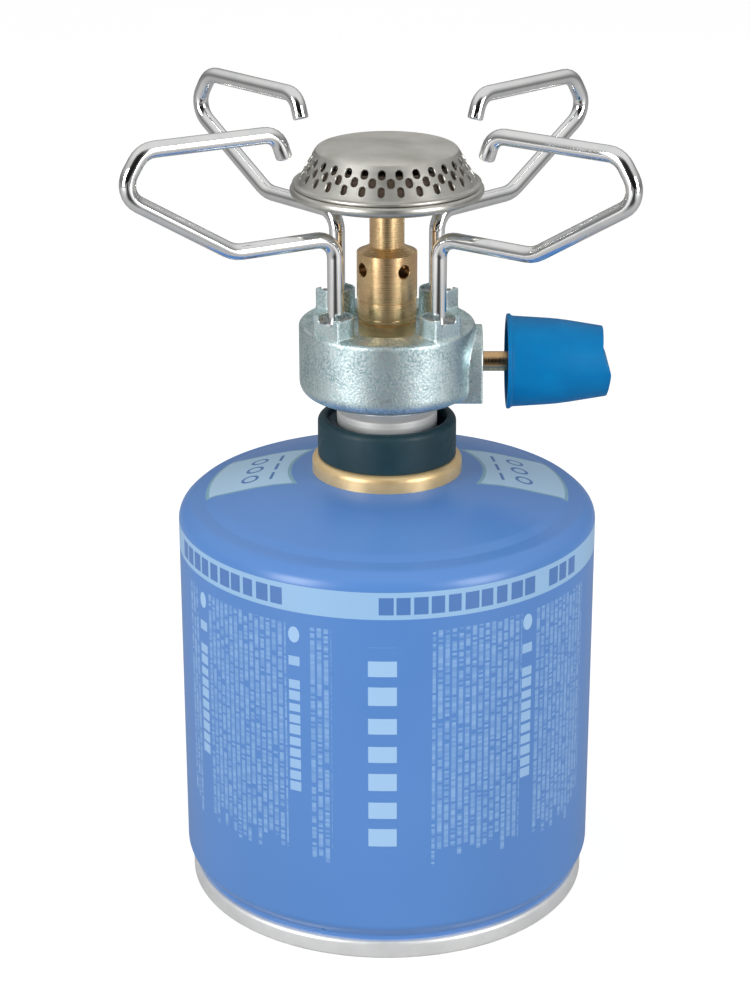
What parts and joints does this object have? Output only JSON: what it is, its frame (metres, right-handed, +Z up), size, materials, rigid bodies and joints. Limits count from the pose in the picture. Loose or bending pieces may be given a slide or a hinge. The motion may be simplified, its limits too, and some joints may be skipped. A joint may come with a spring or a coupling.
{
  "type": "canister stove",
  "caption": "Camping gas stove: burner head with swivelling wire pan supports and a side knob, twist-locked on a domed gas cartridge.",
  "frame": {"origin": "centre of the cartridge's foot ring, on the surface it stands on", "axes": "+Z up along the cartridge and burner axis, +X along the spindle towards the control knob, -Y towards the front"},
  "size_m": [0.1199, 0.1078, 0.2066],
  "materials": {
    "canister_paint": "satin blue paint on steel",
    "tinplate": "bright tinplate, satin",
    "gold_lacquer": "gold lacquered tinplate, satin",
    "collar_plastic": "moulded plastic, fine matt",
    "housing_plastic": "moulded plastic, natural",
    "rubber": "nitrile rubber, matt",
    "spring_steel": "spring steel, satin",
    "turned_steel": "turned, nickel plated",
    "sintered_bronze": "sintered, grainy",
    "zinc_casting": "die-cast zinc, passivated, mottled satin",
    "brass": "turned, fine lathe lines",
    "burner_steel": "pressed stainless steel, satin",
    "gauze_steel": "woven fine wire",
    "chromed_wire": "bright chrome plate",
    "knob_plastic": "moulded plastic, fine satin"
  },
  "bodies": {
    "canister": {"canister_body": "canister_paint", "canister_base": "tinplate", "valve_cup": "gold_lacquer", "valve_housing": "housing_plastic", "valve_gasket": "rubber", "valve_spring": "spring_steel", "locking_collar": "collar_plastic"},
    "valve_stem": {"valve_stem": "brass"},
    "burner_head": {"bayonet_neck": "turned_steel", "inlet_seal": "rubber", "inlet_probe": "turned_steel", "inlet_filter": "sintered_bronze", "valve_body": "zinc_casting", "gland_bush": "brass", "spindle_seal": "rubber", "jet_holder": "brass", "gas_jet": "brass", "mixer_body": "brass", "burner_tube": "brass", "burner_dish": "burner_steel", "burner_cap": "burner_steel", "burner_gauze": "gauze_steel", "retaining_washer_front_left": "spring_steel", "retaining_washer_front_right": "spring_steel", "retaining_washer_back_left": "spring_steel", "retaining_washer_back_right": "spring_steel"},
    "needle": {"valve_needle": "turned_steel"},
    "knob": {"spindle": "brass", "control_knob": "knob_plastic"},
    "support_front_left": {"pan_support_front_left": "chromed_wire"},
    "support_front_right": {"pan_support_front_right": "chromed_wire"},
    "support_back_left": {"pan_support_back_left": "chromed_wire"},
    "support_back_right": {"pan_support_back_right": "chromed_wire"}
  },
  "joints": [
    {"name": "valve_rise", "type": "slide", "parent": "canister", "child": "valve_stem", "axis": [0, 0, 1], "range_m": [0, 0.0012], "deforming": ["valve_spring"]},
    {"name": "head_turn", "type": "hinge", "parent": "valve_stem", "child": "burner_head", "pos_m": [0, 0, 0.12], "axis": [0, 0, 1], "range_deg": [0, 60]},
    {"name": "needle_feed", "type": "slide", "parent": "burner_head", "child": "needle", "axis": [1, 0, 0], "range_m": [0, 0.0012]},
    {"name": "knob_turn", "type": "hinge", "parent": "needle", "child": "knob", "pos_m": [0.03, 0, 0.1419], "axis": [1, 0, 0], "range_deg": [0, 540]},
    {"name": "swivel_front_left", "type": "hinge", "parent": "burner_head", "child": "support_front_left", "pos_m": [-0.0126, -0.0126, 0.16], "axis": [0, 0, 1], "range_deg": [-29.3, 60.7]},
    {"name": "swivel_front_right", "type": "hinge", "parent": "burner_head", "child": "support_front_right", "pos_m": [0.0126, -0.0126, 0.16], "axis": [0, 0, 1], "range_deg": [-54.2, 35.8]},
    {"name": "swivel_back_left", "type": "hinge", "parent": "burner_head", "child": "support_back_left", "pos_m": [-0.0126, 0.0126, 0.16], "axis": [0, 0, 1], "range_deg": [-42.5, 47.5]},
    {"name": "swivel_back_right", "type": "hinge", "parent": "burner_head", "child": "support_back_right", "pos_m": [0.0126, 0.0126, 0.16], "axis": [0, 0, 1], "range_deg": [-44.7, 45.3]}
  ],
  "couplings": [
    {"joint": "head_turn", "follows": "valve_rise", "rad_per_m": 872.66},
    {"joint": "knob_turn", "follows": "needle_feed", "rad_per_m": 7854}
  ]
}
